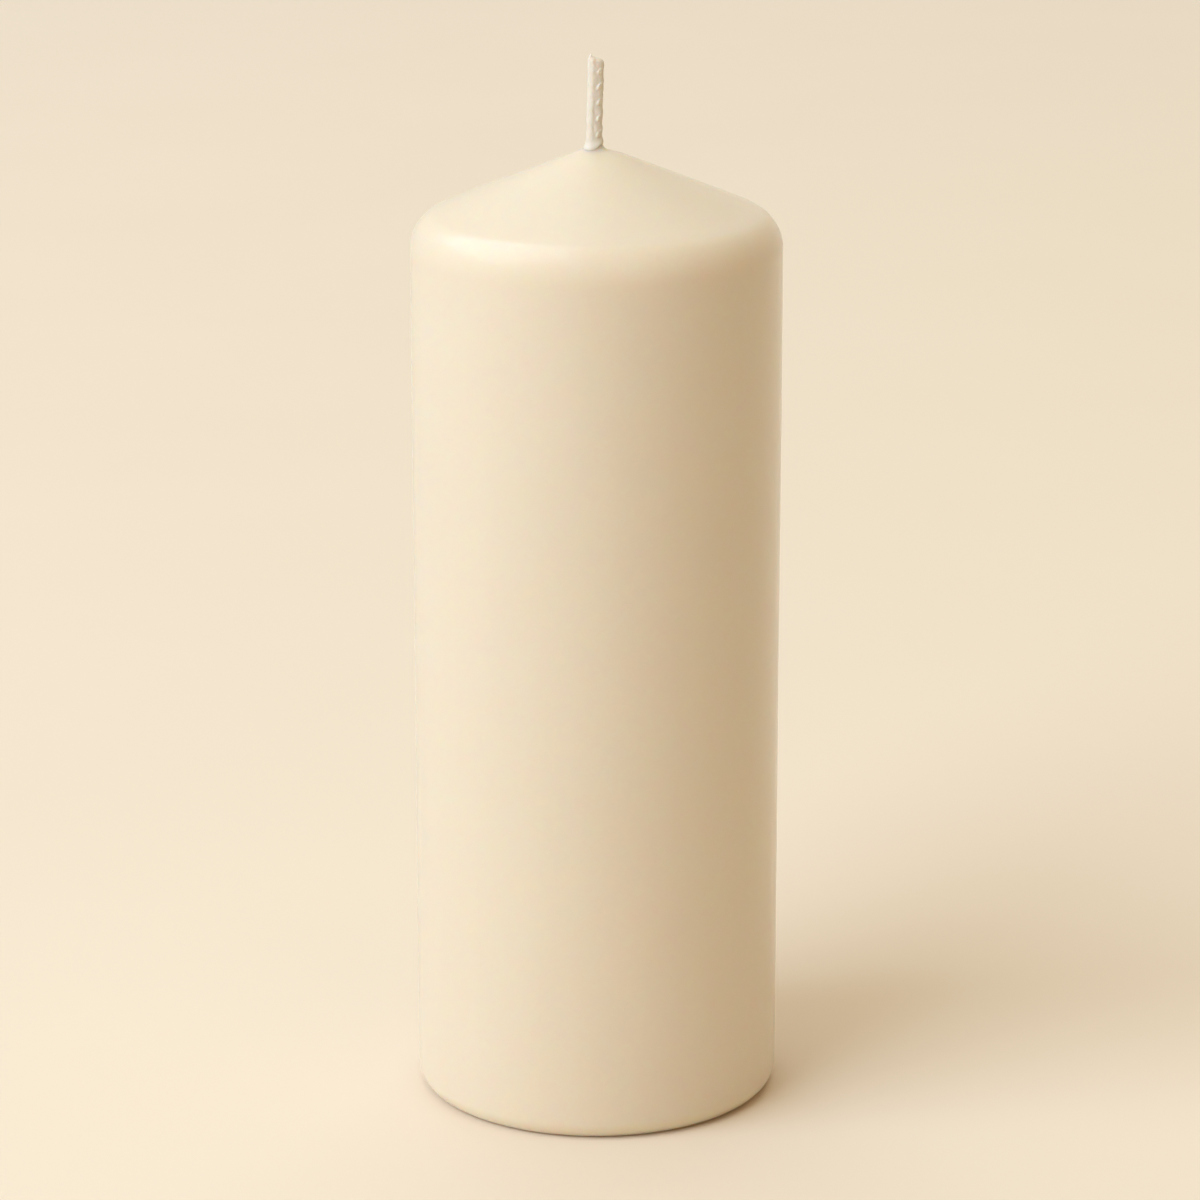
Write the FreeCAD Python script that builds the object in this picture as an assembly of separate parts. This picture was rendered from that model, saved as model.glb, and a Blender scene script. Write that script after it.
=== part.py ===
import FreeCAD, Part
import math
import os

# A pillar candle: one cast body of ivory wax with rounded edges and a conical
# top, and one braided cotton wick that runs through it from base to tip.
# Millimetres, +Z up, the origin at the centre of the base it stands on.
# Seen from -Y, the wick leans a little towards +X.

# Wax body
candle_diameter = 68.0
wall_top = 162.0          # height where the straight wall ends
base_edge_radius = 3.9
shoulder_radius = 6.8
cone_angle = 23.2         # slope of the top, from level
crown_radius = 40.0       # softening of the cone close to the wick
crown_start_radius = 6.0  # distance from the axis where the cone softens
collar_flare_radius = 2.8  # wax that has climbed the wick
collar_lip = 0.05         # wax left at the collar's top, outside the wick

# Pressed hollow under the base, inside the ring that the candle stands on
foot_ring_width = 5.6     # flat ring between the base edge and the hollow
recess_depth = 1.4
recess_wall_angle = 50.0  # slope of the hollow's side, from level
recess_fillet = 0.8

# Wick: three cotton plies plaited flat, stiffened and rounded by wax
wick_width = 3.0
wick_thickness = 2.4
wick_exposed = 15.4       # from the collar's top to the wick's tip
wick_lean = 1.4           # degrees, of the exposed stretch
ply_radius = 0.52
plait_pitch = 8.7         # height in which one ply crosses and comes back
side_fill = 0.92          # wax along the plait's two edges, as a share of its width
face_fill = 0.72          # wax on the plait's two faces, as a share of its thickness
fill_run = 2.2            # height in which the grooves open above the collar
tip_dome = 0.7            # height of the rounded tip
tip_flat = 0.65           # share of the section left as a flat at the tip
tip_slant = 22.0          # degrees, of the cut across the tip

# How finely the plait is followed
sections_per_pitch = 12
points_per_section = 18
dome_sections = 4
wax_softness = 14.0       # lower rounds the grooves more


def polar(centre, radius, degrees):
    """A point of the XZ profile plane, at an angle above level."""
    angle = math.radians(degrees)
    return FreeCAD.Vector(centre.x + radius * math.cos(angle), 0,
                          centre.z + radius * math.sin(angle))


def arc(centre, radius, start, end):
    """An arc of the profile between two angles above level."""
    middle = polar(centre, radius, (start + end) / 2)
    return Part.Arc(polar(centre, radius, start), middle,
                    polar(centre, radius, end)).toShape()


def crown_end():
    """Where the crown meets the collar's flare: its point, and its slope."""
    collar_radius = wick_width / 2 + collar_lip
    sine_start = math.sin(math.radians(cone_angle))
    # the flare leaves the crown on a common tangent, so both lines hold:
    # reach = collar_radius + flare * (1 - sine), reach = start - crown * (sine_start - sine)
    top = collar_radius + collar_flare_radius - crown_start_radius + crown_radius * sine_start
    sine = top / (crown_radius + collar_flare_radius)
    return collar_radius + collar_flare_radius * (1 - sine), math.degrees(math.asin(sine))


def outline_heights():
    """Heights and radii along the top: shoulder, cone, crown and collar."""
    radius = candle_diameter / 2
    slope = math.radians(cone_angle)
    shoulder = FreeCAD.Vector(radius - shoulder_radius, 0, wall_top)
    cone_low = polar(shoulder, shoulder_radius, 90 - cone_angle)
    cone_high = FreeCAD.Vector(
        crown_start_radius, 0,
        cone_low.z + (cone_low.x - crown_start_radius) * math.tan(slope))
    crown = FreeCAD.Vector(cone_high.x - crown_radius * math.sin(slope), 0,
                           cone_high.z - crown_radius * math.cos(slope))
    reach, flare_slope = crown_end()
    crown_low = polar(crown, crown_radius, 90 - flare_slope)
    flare = FreeCAD.Vector(reach + collar_flare_radius * math.sin(math.radians(flare_slope)), 0,
                           crown_low.z + collar_flare_radius * math.cos(math.radians(flare_slope)))
    return shoulder, cone_low, cone_high, crown, crown_low, flare, flare_slope


def collar_top():
    """Height at which the wax lets go of the wick."""
    return outline_heights()[5].z


def make_recess():
    """The hollow under the base, as the punch that presses it."""
    radius = candle_diameter / 2 - base_edge_radius - foot_ring_width
    run = recess_depth / math.tan(math.radians(recess_wall_angle))
    punch = Part.makeCone(radius, radius - run, recess_depth)
    floor_edge = [e for e in punch.Edges if e.BoundBox.ZMin > recess_depth / 2]
    return punch.makeFillet(recess_fillet, floor_edge)


def make_wax_body():
    """The cast body: its outer form turned about the axis, less wick and hollow."""
    radius = candle_diameter / 2
    shoulder, cone_low, cone_high, crown, crown_low, flare, flare_slope = outline_heights()
    base_edge = FreeCAD.Vector(radius - base_edge_radius, 0, base_edge_radius)
    lip = polar(flare, collar_flare_radius, 180)
    top_centre = FreeCAD.Vector(0, 0, lip.z)
    base_centre = FreeCAD.Vector(0, 0, 0)
    outline = Part.Wire([
        Part.makeLine(base_centre, polar(base_edge, base_edge_radius, -90)),
        arc(base_edge, base_edge_radius, -90, 0),
        Part.makeLine(polar(base_edge, base_edge_radius, 0), polar(shoulder, shoulder_radius, 0)),
        arc(shoulder, shoulder_radius, 0, 90 - cone_angle),
        Part.makeLine(cone_low, cone_high),
        arc(crown, crown_radius, 90 - cone_angle, 90 - flare_slope),
        arc(flare, collar_flare_radius, 270 - flare_slope, 180),
        Part.makeLine(lip, top_centre),
        Part.makeLine(top_centre, base_centre),
    ])
    body = Part.Face(outline).revolve(base_centre, FreeCAD.Vector(0, 0, 1), 360)
    return body.cut(make_recess()).cut(closed_solid(buried_side()))


def buried_side():
    """The wick's surface inside the wax, where wax fills the plait to an oval."""
    ends = [e for e in plait_side().Edges if e.isClosed()]
    collar_edge = min(ends, key=lambda e: e.BoundBox.ZMax)
    return collar_edge.extrude(FreeCAD.Vector(0, 0, recess_depth - collar_top()))


def oval_reach(angle):
    """Distance from the wick's axis to its waxed oval envelope."""
    return 1 / math.hypot(math.cos(angle) / (wick_width / 2),
                          math.sin(angle) / (wick_thickness / 2))


def plait_reach(angle, height):
    """Distance from the wick's axis to the waxed surface of the three plies."""
    swing = wick_width / 2 - ply_radius
    dip = wick_thickness / 2 - ply_radius
    fill = face_fill + (side_fill - face_fill) * math.cos(angle) ** 2
    total = (fill * oval_reach(angle)) ** wax_softness
    for ply in range(3):
        turn = 2 * math.pi * (height / plait_pitch + ply / 3)
        x = swing * math.sin(turn)
        y = dip * math.sin(2 * turn)
        along = x * math.cos(angle) + y * math.sin(angle)
        across = x * math.sin(angle) - y * math.cos(angle)
        if abs(across) < ply_radius:
            far = along + math.sqrt(ply_radius ** 2 - across ** 2)
            total += max(far, 0) ** wax_softness
    return min(total ** (1 / wax_softness), oval_reach(angle))


def wick_section(height, scale, fill):
    """The poles of one closed section, height above the collar's top.
    fill runs from 1, grooves full of wax, to 0, grooves open."""
    top = wick_exposed - tip_dome
    slant = math.tan(math.radians(tip_slant)) * (height / wick_exposed) ** 4
    centre_x = height * math.tan(math.radians(wick_lean))
    # a cubic curve runs inside its poles by this share of the radius
    swell = 3 / (2 + math.cos(2 * math.pi / points_per_section))
    poles = []
    for step in range(points_per_section):
        angle = 2 * math.pi * step / points_per_section
        reach = fill * oval_reach(angle) + (1 - fill) * plait_reach(angle, min(height, top))
        x = scale * swell * reach * math.cos(angle)
        y = scale * swell * reach * math.sin(angle)
        poles.append(FreeCAD.Vector(centre_x + x, y, collar_top() + height - x * slant))
    return poles


def plait_sections():
    """The sections of the exposed wick, from the collar's top to the tip."""
    top = wick_exposed - tip_dome
    count = max(4, round(sections_per_pitch * top / plait_pitch))
    sections = []
    for step in range(count + 1):
        height = top * step / count
        fill = 0.5 + 0.5 * math.cos(math.pi * min(1, height / fill_run))
        sections.append(wick_section(height, 1, fill))
    last = math.acos(tip_flat)
    for step in range(1, dome_sections + 1):
        share = last * step / dome_sections
        height = top + tip_dome * math.sin(share) / math.sin(last)
        sections.append(wick_section(height, math.cos(share), 0))
    return sections


def plait_side():
    """The waxed surface of the exposed plait: one smooth face, closed around."""
    sections = plait_sections()
    along = len(sections)
    around = points_per_section
    surface = Part.BSplineSurface()
    surface.buildFromPolesMultsKnots(
        sections, [4] + [1] * (along - 4) + [4], [1] * (around + 1),
        list(range(along - 2)), list(range(around + 1)), False, True, 3, 3)
    return surface.toShape()


def closed_solid(*sides):
    """A solid from open tubes that meet edge to edge, with a flat face at each end."""
    ends = [e for side in sides for e in side.Edges if e.isClosed()]
    low = min(ends, key=lambda e: e.BoundBox.ZMin)
    high = max(ends, key=lambda e: e.BoundBox.ZMax)
    shell = Part.makeShell(list(sides) + [Part.Face(Part.Wire(low)), Part.Face(Part.Wire(high))])
    shell.sewShape()
    return Part.Solid(shell)


def make_wick():
    """The whole wick: the oval inside the wax, and the plait that stands out."""
    return closed_solid(buried_side(), plait_side())


def main():
    os.makedirs("parts", exist_ok=True)
    pieces = {"wax_body": make_wax_body(), "wick": make_wick()}
    for name, shape in pieces.items():
        top = shape.optimalBoundingBox(False, True).ZMax
        print(name, "solids", len(shape.Solids), "valid", shape.isValid(),
              "volume", round(shape.Volume, 2), "top", round(top, 3))
        shape.exportStep("parts/" + name + ".step")


main()
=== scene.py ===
import math

import bmesh
import bpy
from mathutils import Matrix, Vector, noise


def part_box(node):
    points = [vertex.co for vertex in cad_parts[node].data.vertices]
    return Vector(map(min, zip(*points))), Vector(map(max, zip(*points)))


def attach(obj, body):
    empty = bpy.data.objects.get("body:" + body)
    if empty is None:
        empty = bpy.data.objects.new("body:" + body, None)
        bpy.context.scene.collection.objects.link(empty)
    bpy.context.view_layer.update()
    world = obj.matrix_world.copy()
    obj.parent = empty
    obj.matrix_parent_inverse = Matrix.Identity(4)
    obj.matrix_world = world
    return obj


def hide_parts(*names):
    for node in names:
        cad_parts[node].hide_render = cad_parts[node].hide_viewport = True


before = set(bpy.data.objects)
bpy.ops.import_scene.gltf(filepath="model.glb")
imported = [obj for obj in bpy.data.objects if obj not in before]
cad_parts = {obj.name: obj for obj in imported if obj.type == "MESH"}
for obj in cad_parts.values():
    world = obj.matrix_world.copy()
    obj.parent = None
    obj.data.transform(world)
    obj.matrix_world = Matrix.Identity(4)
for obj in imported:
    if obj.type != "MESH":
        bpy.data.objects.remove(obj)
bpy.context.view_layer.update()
scene = bpy.context.scene
scene.view_settings.view_transform = "Standard"


# Camera: a long lens, set back and a little above the candle, framed square.
# It looks down so that the cone of the top and the round of the foot both show.
camera_right = 0.00061      # metres from the candle's axis, as all lengths here
camera_distance = 0.85      # from the axis, along the floor
camera_height = 0.3424
camera_tilt = 73.75         # degrees from straight down
camera_range = 20.0         # the furthest that it sees
lens_length = 142.65        # millimetres
sensor_width = 36.0         # millimetres

camera_data = bpy.data.cameras.new("camera")
camera_data.lens = lens_length
camera_data.sensor_width = sensor_width
camera_data.clip_end = camera_range
camera = bpy.data.objects.new("camera", camera_data)
camera.location = (camera_right, -camera_distance, camera_height)
camera.rotation_euler = (math.radians(camera_tilt), 0, 0)
scene.collection.objects.link(camera)
scene.camera = camera


# Wax body: ivory wax, cast in one piece, with rounded edges, a low cone on top and a
# hollow pressed into the base. An outline with rounded corners is spun about the axis.
# Then it is made a little untrue, with an uneven collar where wax has climbed the wick.
_, wax_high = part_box("wax_body")
wall_radius = wax_high.x
collar_height = wax_high.z
wall_top = 0.1620
base_edge_radius = 0.0039
shoulder_radius = 0.0068
cone_slope = math.radians(23.2)
crown_slope = math.radians(19.25)  # the cone eases to this before the collar
crown_reach = 0.00473
crown_radius = 0.040
collar_reach = 0.00155
collar_flare = 0.0021
recess_reach = 0.0245
recess_depth = 0.0014
recess_run = 0.0012         # width of the hollow's sloping side
recess_fillet = 0.0008
mouth_edge = 0.0003         # rounding of the hollow's mouth

turns_around = 200          # divisions of the spin
long_edge = 0.015           # edges of the outline longer than this are divided
wall_share = 0.9            # share of the wall's radius that only the wall lies beyond
wall_rings = 60
flat_rings = 16
merge_distance = 1e-7
hair = 0.00001              # a hair's breadth, for comparing places

# Hand-finished wax is never quite true: the wall swells and thins by a few hundredths
# of a millimetre, and the wax has climbed the wick higher on its right.
wall_waver = 0.00005
waver_lumps = 55            # to a metre around the wall
waver_stretch = 0.35        # share of that number up the wall
flat_ring = 0.004           # width beside the hollow that stays flat
collar_end = 0.0055         # distance from the axis where the collar is lost in the cone
collar_rise = 0.72          # share of its full height that it reaches on its right
collar_sag = 0.32           # share of it that is missing on its left
sag_start = 0.2             # radians from its right where the sag begins
sag_full = 1.4              # and where it is full
apex_sink = 0.0002          # the cone's middle has sunk a little as it cooled
apex_reach = 0.024

# The wick that it is cast around, where it leaves the wax
wick_offset = -0.00052      # from the axis
wick_half_width = 0.0015
wick_half_thickness = 0.0012


class Shade:
    """A value in a node tree. Sums and products of values add Math nodes."""

    def __init__(self, nodes, socket):
        self.nodes = nodes
        self.socket = socket

    def math(self, operation, *terms):
        return self.nodes.node("ShaderNodeMath", {"operation": operation}, dict(enumerate(terms)))

    def __add__(self, other):
        return self.math("ADD", self, other)

    __radd__ = __add__

    def __mul__(self, other):
        return self.math("MULTIPLY", self, other)

    __rmul__ = __mul__


class Nodes:
    """A node tree: one method adds any node, one feeds any socket."""

    def __init__(self, tree):
        self.tree = tree

    def node(self, kind, settings, inputs, output=0):
        node = self.tree.nodes.new(kind)
        for key, value in settings.items():
            setattr(node, key, value)
        for key, value in inputs.items():
            self.feed(node.inputs[key], value)
        return Shade(self, node.outputs[output])

    def feed(self, socket, value):
        if isinstance(value, Shade):
            self.tree.links.new(value.socket, socket)
        else:
            socket.default_value = value


class Finish(Nodes):
    """A material made of nodes, ending in one Principled BSDF."""

    def __init__(self, name):
        self.material = bpy.data.materials.new(name)
        self.material.use_nodes = True
        super().__init__(self.material.node_tree)
        self.surface = self.tree.nodes["Principled BSDF"]
        self.place = self.node("ShaderNodeTexCoord", {}, {}, "Object")

    def principled(self, **values):
        for key, value in values.items():
            self.feed(self.surface.inputs[key.replace("_", " ")], value)

    def stretched(self, scale):
        """The piece's own coordinates, drawn out by a scale along each axis."""
        return self.node("ShaderNodeMapping", {}, {"Vector": self.place, "Scale": scale})

    def cloud(self, where, scale, detail=2.0, rough=0.5):
        """Soft noise from 0 to 1, with about so many lumps to a metre."""
        return self.node("ShaderNodeTexNoise", {},
                         {"Vector": where, "Scale": scale, "Detail": detail, "Roughness": rough})

    def blend(self, share, first, second):
        """The first colour where share is 0, the second where it is 1."""
        return self.node("ShaderNodeMix", {"data_type": "RGBA", "clamp_factor": True},
                         {0: share, 6: first, 7: second}, 2)

    def bump(self, height, strength, distance):
        return self.node("ShaderNodeBump", {},
                         {"Height": height, "Strength": strength, "Distance": distance})


def colour(red, green, blue):
    return red, green, blue, 1.0


def soft_step(low, high, value):
    """Eases from 0 at low to 1 at high."""
    share = min(1.0, max(0.0, (value - low) / (high - low)))
    return share * share * (3 - 2 * share)


def round_corner(mesh, corner, radius, segments):
    """Rounds one corner of an outline with an arc of that radius."""
    first, second = (edge.other_vert(corner).co - corner.co for edge in corner.link_edges)
    turn = math.pi - first.angle(second)
    bmesh.ops.bevel(mesh, geom=[corner], affect="VERTICES", offset_type="OFFSET",
                    offset=radius * math.tan(turn / 2), segments=segments, profile=0.5,
                    material=-1)


def add_piece(name, mesh, finish, smooth=True):
    """A finished mesh as an object at the origin, in its material."""
    data = bpy.data.meshes.new(name)
    for face in mesh.faces:
        face.smooth = smooth
    mesh.to_mesh(data)
    mesh.free()
    piece = bpy.data.objects.new(name, data)
    data.materials.append(finish.material)
    scene.collection.objects.link(piece)
    return piece


shoulder_turn = math.pi / 2 - cone_slope
shoulder_height = wall_top + shoulder_radius * math.tan(shoulder_turn / 2)
crown_height = shoulder_height + (wall_radius - crown_reach) * math.tan(cone_slope)
flare_height = crown_height + (crown_reach - collar_reach) * math.tan(crown_slope)

wax = bmesh.new()
outline = {  # each corner's distance from the axis, height, rounding and segments
    "recess_centre": (0, recess_depth, 0, 0),
    "recess_floor": (recess_reach - recess_run, recess_depth, recess_fillet, 6),
    "recess_mouth": (recess_reach, 0, mouth_edge, 4),
    "base_edge": (wall_radius, 0, base_edge_radius, 18),
    "shoulder": (wall_radius, shoulder_height, shoulder_radius, 30),
    "crown": (crown_reach, crown_height, crown_radius, 14),
    "flare": (collar_reach, flare_height, collar_flare, 24),
    "collar_lip": (collar_reach, collar_height, 0, 0),
    "collar_centre": (0, collar_height, 0, 0),
}
corners = {name: wax.verts.new((corner[0], 0, corner[1])) for name, corner in outline.items()}
names = list(outline)
for name, following in zip(names, names[1:]):
    wax.edges.new((corners[name], corners[following]))
for name, (_, _, radius, segments) in outline.items():
    if radius:
        round_corner(wax, corners[name], radius, segments)
long_edges = [edge for edge in wax.edges if edge.calc_length() > long_edge]
wall_edges = [edge for edge in long_edges if edge.verts[0].co.x > wall_share * wall_radius]
bmesh.ops.subdivide_edges(wax, edges=wall_edges, cuts=wall_rings)
flat_edges = [edge for edge in long_edges if edge.is_valid and edge not in wall_edges]
bmesh.ops.subdivide_edges(wax, edges=flat_edges, cuts=flat_rings)
bmesh.ops.spin(wax, geom=list(wax.verts) + list(wax.edges), cent=(0, 0, 0), axis=(0, 0, 1),
               angle=2 * math.pi, steps=turns_around, use_merge=True)
bmesh.ops.remove_doubles(wax, verts=wax.verts, dist=merge_distance)

for vert in wax.verts:
    reach = math.hypot(vert.co.x, vert.co.y)
    if vert.co.z < recess_depth + hair and reach < recess_reach + flat_ring:
        continue
    outward = Vector((vert.co.x, vert.co.y, 0)) / max(reach, merge_distance)
    near_wick = 1 - soft_step(collar_reach, collar_end, reach)
    lump = Vector((vert.co.x, vert.co.y, vert.co.z * waver_stretch)) * waver_lumps
    vert.co += outward * noise.noise(lump) * wall_waver * (1 - near_wick)
    if vert.co.z > wall_top:
        around = math.acos(max(-1.0, min(1.0, outward.x)))
        vert.co.y *= 1 - (1 - wick_half_thickness / wick_half_width) * near_wick
        vert.co.x += wick_offset * near_wick
        cone_height = flare_height + (collar_reach - reach) * math.tan(crown_slope)
        climbed = max(0.0, vert.co.z - cone_height) * near_wick
        low_side = soft_step(sag_start, sag_full, around)
        vert.co.z -= climbed * (1 - collar_rise + collar_sag * low_side)
        vert.co.z -= apex_sink * (1 - soft_step(0, apex_reach, reach))
bmesh.ops.recalc_face_normals(wax, faces=wax.faces)

wax_finish = Finish("ivory_wax")
broad = wax_finish.cloud(wax_finish.place, scale=42.0, detail=3.0)
streak = wax_finish.cloud(wax_finish.stretched((260.0, 260.0, 7.0)), scale=1.0)
grain = wax_finish.cloud(wax_finish.place, scale=620.0, detail=4.0, rough=0.6)
mottle = broad * 0.5 + streak * 0.3 + grain * 0.2
wax_finish.principled(
    Base_Color=wax_finish.blend(mottle, colour(0.818, 0.683, 0.505), colour(0.858, 0.727, 0.545)),
    Roughness=broad * 0.08 + streak * 0.05 + 0.24,
    Subsurface_Weight=1.0,
    Subsurface_Radius=(1.0, 0.55, 0.28),
    Subsurface_Scale=0.006,
    IOR=1.44,
    Coat_Weight=0.7,
    Coat_Roughness=0.18,
    Normal=wax_finish.bump(grain * 0.5 + broad * 3.0 + streak * 0.4,
                           strength=0.25, distance=0.00004),
)

wax_body = add_piece("candle_wax", wax, wax_finish)
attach(wax_body, "root")
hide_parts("wax_body")


# Wick: three plies of cotton plaited together, stiff with wax that fills the plait, most
# of all on its left. It leans a little and is cut off at a slant. A ring drawn out into a
# tube takes the plait's shape, and runs on through the wax to the hollow in the base.
wick_low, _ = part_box("wick")
foot_proud = 0.0001          # length that stands out of the hollow's floor
wick_foot = wick_low.z - foot_proud
wick_top = 0.19576           # where the tip begins to round over
wick_lean = math.radians(1.35)
wick_turns = 112             # divisions around the tube
buried_rows = 6
exposed_rows = 330
tip_rows = 14

plait_pitch = 0.0087         # length in which one ply crosses and comes back
plait_drop = 0.0035          # from the collar's full height down to where the plait starts
plait_bare = (0.0012, 0.0042)  # heights above that between which wax gives way to plies
plait_swell = 1.01           # the most that it may stand out of its oval, as a share
ply_radius = 0.00052
strands_per_ply = 6
strand_depth = 0.00004
strand_lay = 0.35            # how much the strands wind with the ply

edge_fill = 0.955            # wax on the plait's two edges, as a share of its width
face_fill = 0.85             # wax on its two faces, as a share of its thickness
uneven_fill = 0.12           # how much that varies over the wick
uneven_lumps = 600           # to a metre of height
smooth_fill = 0.985          # wax on the left, where it ran down
smooth_side = math.radians(200)
smooth_edge = (0.35, 0.85)   # cosines from that side between which it takes over
wax_beads = 0.00005
bead_turn = 1.1              # size of the circle of noise that the beads are read from
bead_lumps = 900             # to a metre of height
wick_softness = 24.0         # lower rounds the grooves more

lip_height = 0.0030          # of the collar's lip on its right, above the plait's start
lip_sag = 0.0007             # how much lower it is on its left
ring_size = 0.00022          # wax that has set around the wick's foot, on the collar
ring_below = 0.0005          # below the lip
ring_spread = 0.0006
drop_size = 0.00065          # and a drop of it on the front left
drop_below = 0.0011
drop_spread = 0.0007
drop_side = math.radians(-122)

tip_round = 0.00070
rim_quickness = 2.5          # the rim is round after the tip's rows divided by this
tip_closing = 0.97           # share of the radius that the last rows close
tip_slant = math.radians(14.0)
tip_run = 0.004              # length over which the rows turn to the slant
fray_depth = 0.00006
fray_lumps = 1 / 0.00045     # to a metre
wisp_height = 0.00055
wisp_width = 0.00034
wisp_place = (-0.00095, -0.00035)
wisp_onset = 6               # higher keeps the wisp closer to the cut


def oval_reach(angle):
    """From the wick's axis to the oval that wax fills it to."""
    return 1 / math.hypot(math.cos(angle) / wick_half_width, math.sin(angle) / wick_half_thickness)


def plait_reach(angle, height):
    """From the wick's axis to the surface of its plies and the wax between them."""
    swing = wick_half_width - ply_radius
    dip = wick_half_thickness - ply_radius
    lump = Vector((math.cos(angle), math.sin(angle), height * uneven_lumps))
    fill = face_fill + (edge_fill - face_fill) * math.cos(angle) ** 2
    fill += uneven_fill * noise.noise(lump)
    fill += (smooth_fill - fill) * soft_step(*smooth_edge, math.cos(angle - smooth_side))
    total = (fill * oval_reach(angle)) ** wick_softness
    for ply in range(3):
        turn = 2 * math.pi * (height / plait_pitch + ply / 3)
        x = swing * math.sin(turn)
        y = -dip * math.sin(2 * turn)
        along = x * math.cos(angle) + y * math.sin(angle)
        across = x * math.sin(angle) - y * math.cos(angle)
        if abs(across) < ply_radius:
            far = along + math.sqrt(ply_radius ** 2 - across ** 2)
            round_ply = math.asin(across / ply_radius) + angle
            twist = strands_per_ply * (round_ply + turn * strand_lay)
            total += max(far + strand_depth * (math.cos(twist) - 1), 0) ** wick_softness
    return min(total ** (1 / wick_softness), plait_swell * oval_reach(angle))


def hump(distance, spread):
    """A smooth rise of 1 that fades on both sides."""
    return math.exp(-(distance / spread) ** 2)


def collar_wax(angle, height):
    """Extra reach where the ring and the drop of wax sit on the wick."""
    lip = lip_height - lip_sag * soft_step(sag_start, sag_full, abs(angle))
    ring = ring_size * hump(height - lip + ring_below, ring_spread)
    drop = drop_size * hump(height - lip + drop_below, drop_spread)
    return ring + drop * max(0.0, math.cos(angle - drop_side)) ** 2


wick = bmesh.new()
bmesh.ops.create_circle(wick, cap_ends=False, radius=1, segments=wick_turns)
bmesh.ops.spin(wick, geom=list(wick.verts) + list(wick.edges), cent=(0, 0, 0), axis=(0, 0, 1),
               dvec=(0, 0, 1), angle=0, steps=buried_rows + exposed_rows + tip_rows)
plait_start = collar_height - plait_drop
exposed = wick_top - plait_start
for vert in wick.verts:
    angle = math.atan2(vert.co.y, vert.co.x)
    row = round(vert.co.z)
    shrink = 1.0
    if row <= buried_rows:
        height = (wick_foot - plait_start) * (1 - row / buried_rows)
        reach = oval_reach(angle)
    else:
        height = exposed * min(1.0, (row - buried_rows) / exposed_rows)
        past = max(0, row - buried_rows - exposed_rows) / tip_rows * rim_quickness
        bare = soft_step(*plait_bare, height)
        bead = Vector((math.cos(angle) * bead_turn, math.sin(angle) * bead_turn,
                       height * bead_lumps))
        reach = oval_reach(angle) * (1 - bare) + plait_reach(angle, height) * bare
        reach += bare * wax_beads * noise.noise(bead)
        reach += collar_wax(angle, height)
        bend = min(1.0, past) * math.pi / 2
        height += tip_round * math.sin(bend)
        reach -= tip_round * (1 - math.cos(bend))
        shrink = 1 - max(0.0, past - 1) / (rim_quickness - 1) * tip_closing
    x = reach * shrink * math.cos(angle)
    y = reach * shrink * math.sin(angle)
    slanted = soft_step(exposed - tip_run, exposed, height)
    height -= x * math.tan(tip_slant) * slanted
    if row > buried_rows + exposed_rows:
        frayed = noise.noise(Vector((x * fray_lumps, y * fray_lumps, 0)))
        height += fray_depth * frayed * (1 - shrink / 2)
    from_wisp = math.hypot(x - wisp_place[0], y - wisp_place[1])
    height += wisp_height * hump(from_wisp, wisp_width) * slanted ** wisp_onset
    vert.co = (x, y, plait_start + height)
    vert.co.x += wick_offset * min(1.0, vert.co.z / plait_start)
    vert.co.x += max(0.0, height) * math.tan(wick_lean)
bmesh.ops.holes_fill(wick, edges=[edge for edge in wick.edges if edge.is_boundary], sides=0)
bmesh.ops.recalc_face_normals(wick, faces=wick.faces)

wick_finish = Finish("waxed_cotton")
fibre = wick_finish.cloud(wick_finish.stretched((9000.0, 9000.0, 1200.0)),
                          scale=1.0, detail=3.0, rough=0.6)
coat = wick_finish.cloud(wick_finish.place, scale=700.0)
wick_finish.principled(
    Base_Color=wick_finish.blend(fibre, colour(0.78, 0.66, 0.51), colour(0.90, 0.80, 0.66)),
    Roughness=coat * 0.15 + 0.28,
    Subsurface_Weight=0.5,
    Subsurface_Radius=(1.0, 0.6, 0.35),
    Subsurface_Scale=0.0006,
    IOR=1.44,
    Coat_Weight=coat * 0.4,
    Coat_Roughness=0.12,
    Normal=wick_finish.bump(fibre, strength=0.35, distance=0.00003),
)

candle_wick = add_piece("candle_wick", wick, wick_finish)
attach(candle_wick, "root")
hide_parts("wick")


# Floor: one wide sheet of cream board, a flat disc larger than the frame, so that it
# is the backdrop too. The room around it is the same cream.
floor_radius = 1.8
floor_height = 0.00025      # the candle's weight presses its foot into the soft board
floor_sides = 128

board = bmesh.new()
bmesh.ops.create_circle(board, cap_ends=True, radius=floor_radius, segments=floor_sides)
bmesh.ops.translate(board, verts=board.verts, vec=(0, 0, floor_height))
board_finish = Finish("cream_board")
patch = board_finish.cloud(board_finish.place, scale=9.0, detail=3.0)
board_finish.principled(
    Base_Color=board_finish.blend(patch, colour(0.880, 0.721, 0.546), colour(0.905, 0.747, 0.574)),
    Roughness=patch * 0.1 + 0.75,
)
floor = add_piece("floor_board", board, board_finish, smooth=False)

backdrop_colour = colour(0.82, 0.71, 0.555)
backdrop_strength = 1.0     # as bright as it is written
room_colour = colour(1.0, 0.885, 0.645)
room_strength = 0.253

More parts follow.
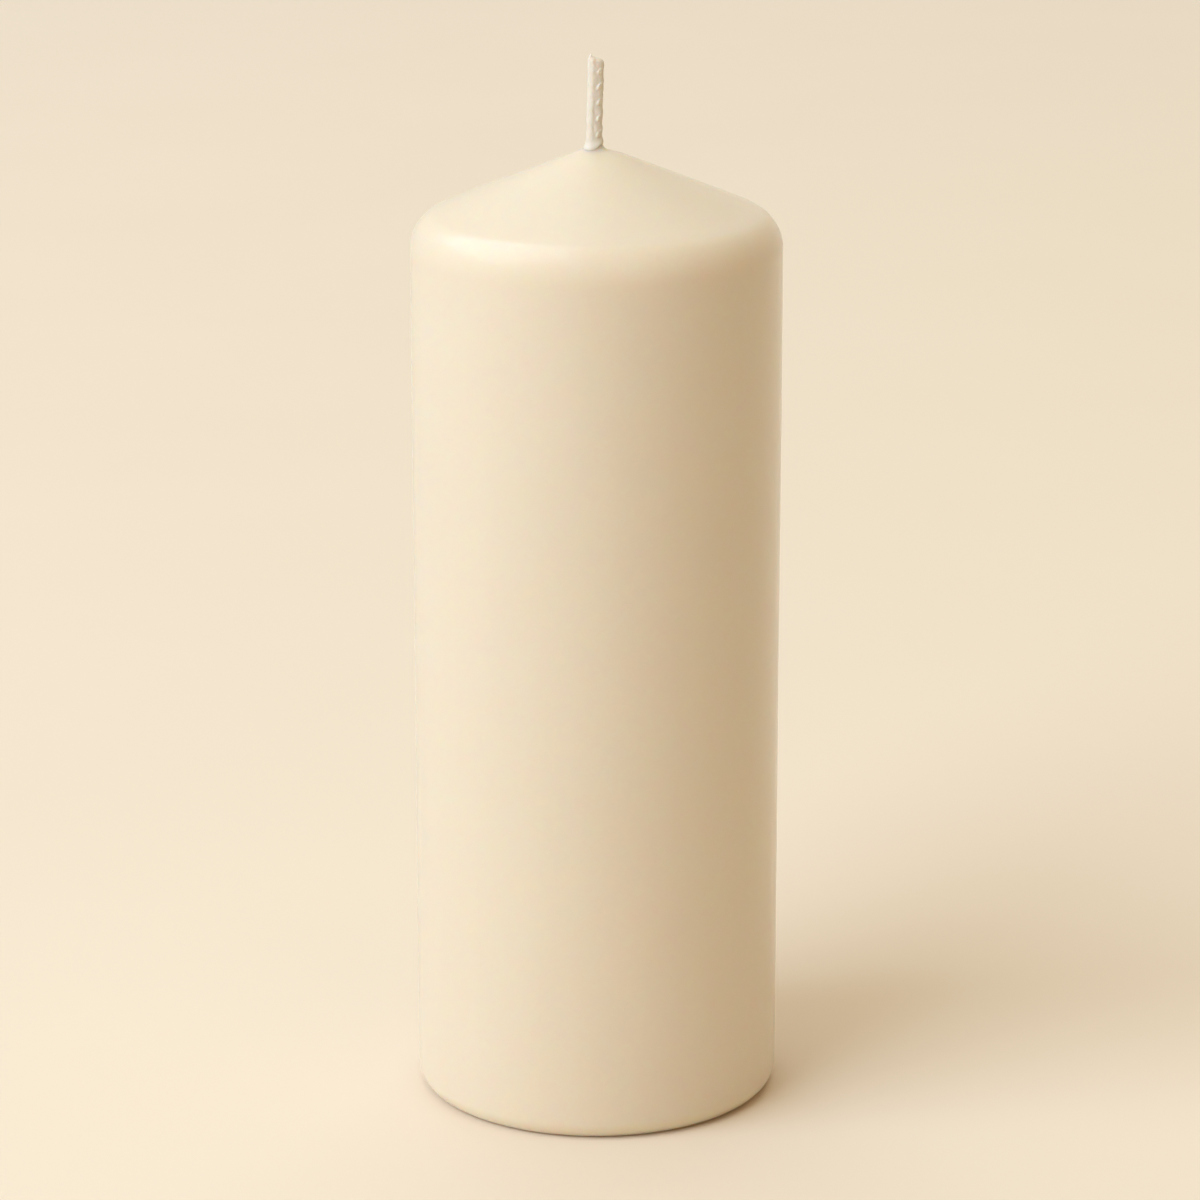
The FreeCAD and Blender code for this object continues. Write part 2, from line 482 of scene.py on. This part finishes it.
room = bpy.data.worlds.new("room")
room.use_nodes = True
scene.world = room
air = Nodes(room.node_tree)
looked_at = (air.node("ShaderNodeLightPath", {}, {}, "Is Camera Ray")
             + air.node("ShaderNodeLightPath", {}, {}, "Is Glossy Ray")
             + air.node("ShaderNodeLightPath", {}, {}, "Is Transmission Ray"))
backdrop = air.node("ShaderNodeBackground", {},
                    {"Color": backdrop_colour, "Strength": backdrop_strength})
room_light = air.node("ShaderNodeBackground", {},
                      {"Color": room_colour, "Strength": room_strength})
air.feed(room.node_tree.nodes["World Output"].inputs["Surface"],
         air.node("ShaderNodeMixShader", {}, {0: looked_at, 1: room_light, 2: backdrop}))


# Lights: a tall soft window to the left in front, in two panes, which casts the shadow,
# with softer panes behind and overhead. None of these shows in reflections. One skylight
# shows only in them: it makes the highlight on the shoulder.
lamp_distance = 3.0
aimed_at = Vector((0, 0, 0.12))
daylight = (0.598, 0.769, 1.0)
warm = (1.0, 0.885, 0.645)


def add_window(name, bearing, elevation, width, height, power, tint):
    """A soft light aimed at the candle. Bearing is from the camera's side, left negative."""
    lamp = bpy.data.lights.new(name, "AREA")
    lamp.shape = "RECTANGLE"
    lamp.size = width
    lamp.size_y = height
    lamp.energy = power
    lamp.color = tint
    turn = math.radians(bearing)
    rise = math.radians(elevation)
    offset = Vector((math.sin(turn) * math.cos(rise), -math.cos(turn) * math.cos(rise),
                     math.sin(rise)))
    holder = bpy.data.objects.new(name, lamp)
    holder.location = aimed_at + offset * lamp_distance
    holder.rotation_euler = offset.to_track_quat("Z", "Y").to_euler()
    scene.collection.objects.link(holder)
    return holder


soft_lights = [
    add_window("front_window_low", bearing=-54, elevation=22,
               width=2.6, height=1.4, power=34.1, tint=daylight),
    add_window("front_window_high", bearing=-54, elevation=42,
               width=2.6, height=1.6, power=65.7, tint=daylight),
    add_window("back_window", bearing=-150, elevation=30,
               width=2.0, height=1.6, power=4.7, tint=daylight),
    add_window("far_window", bearing=180, elevation=35,
               width=3.0, height=1.4, power=24.6, tint=daylight),
    add_window("ceiling", bearing=-90, elevation=89,
               width=3.0, height=3.0, power=40.4, tint=warm),
]
for light in soft_lights:
    light.visible_glossy = False
skylight = add_window("skylight", bearing=-98, elevation=56,
                      width=3.4, height=3.0, power=48.0, tint=daylight)
skylight.visible_diffuse = False
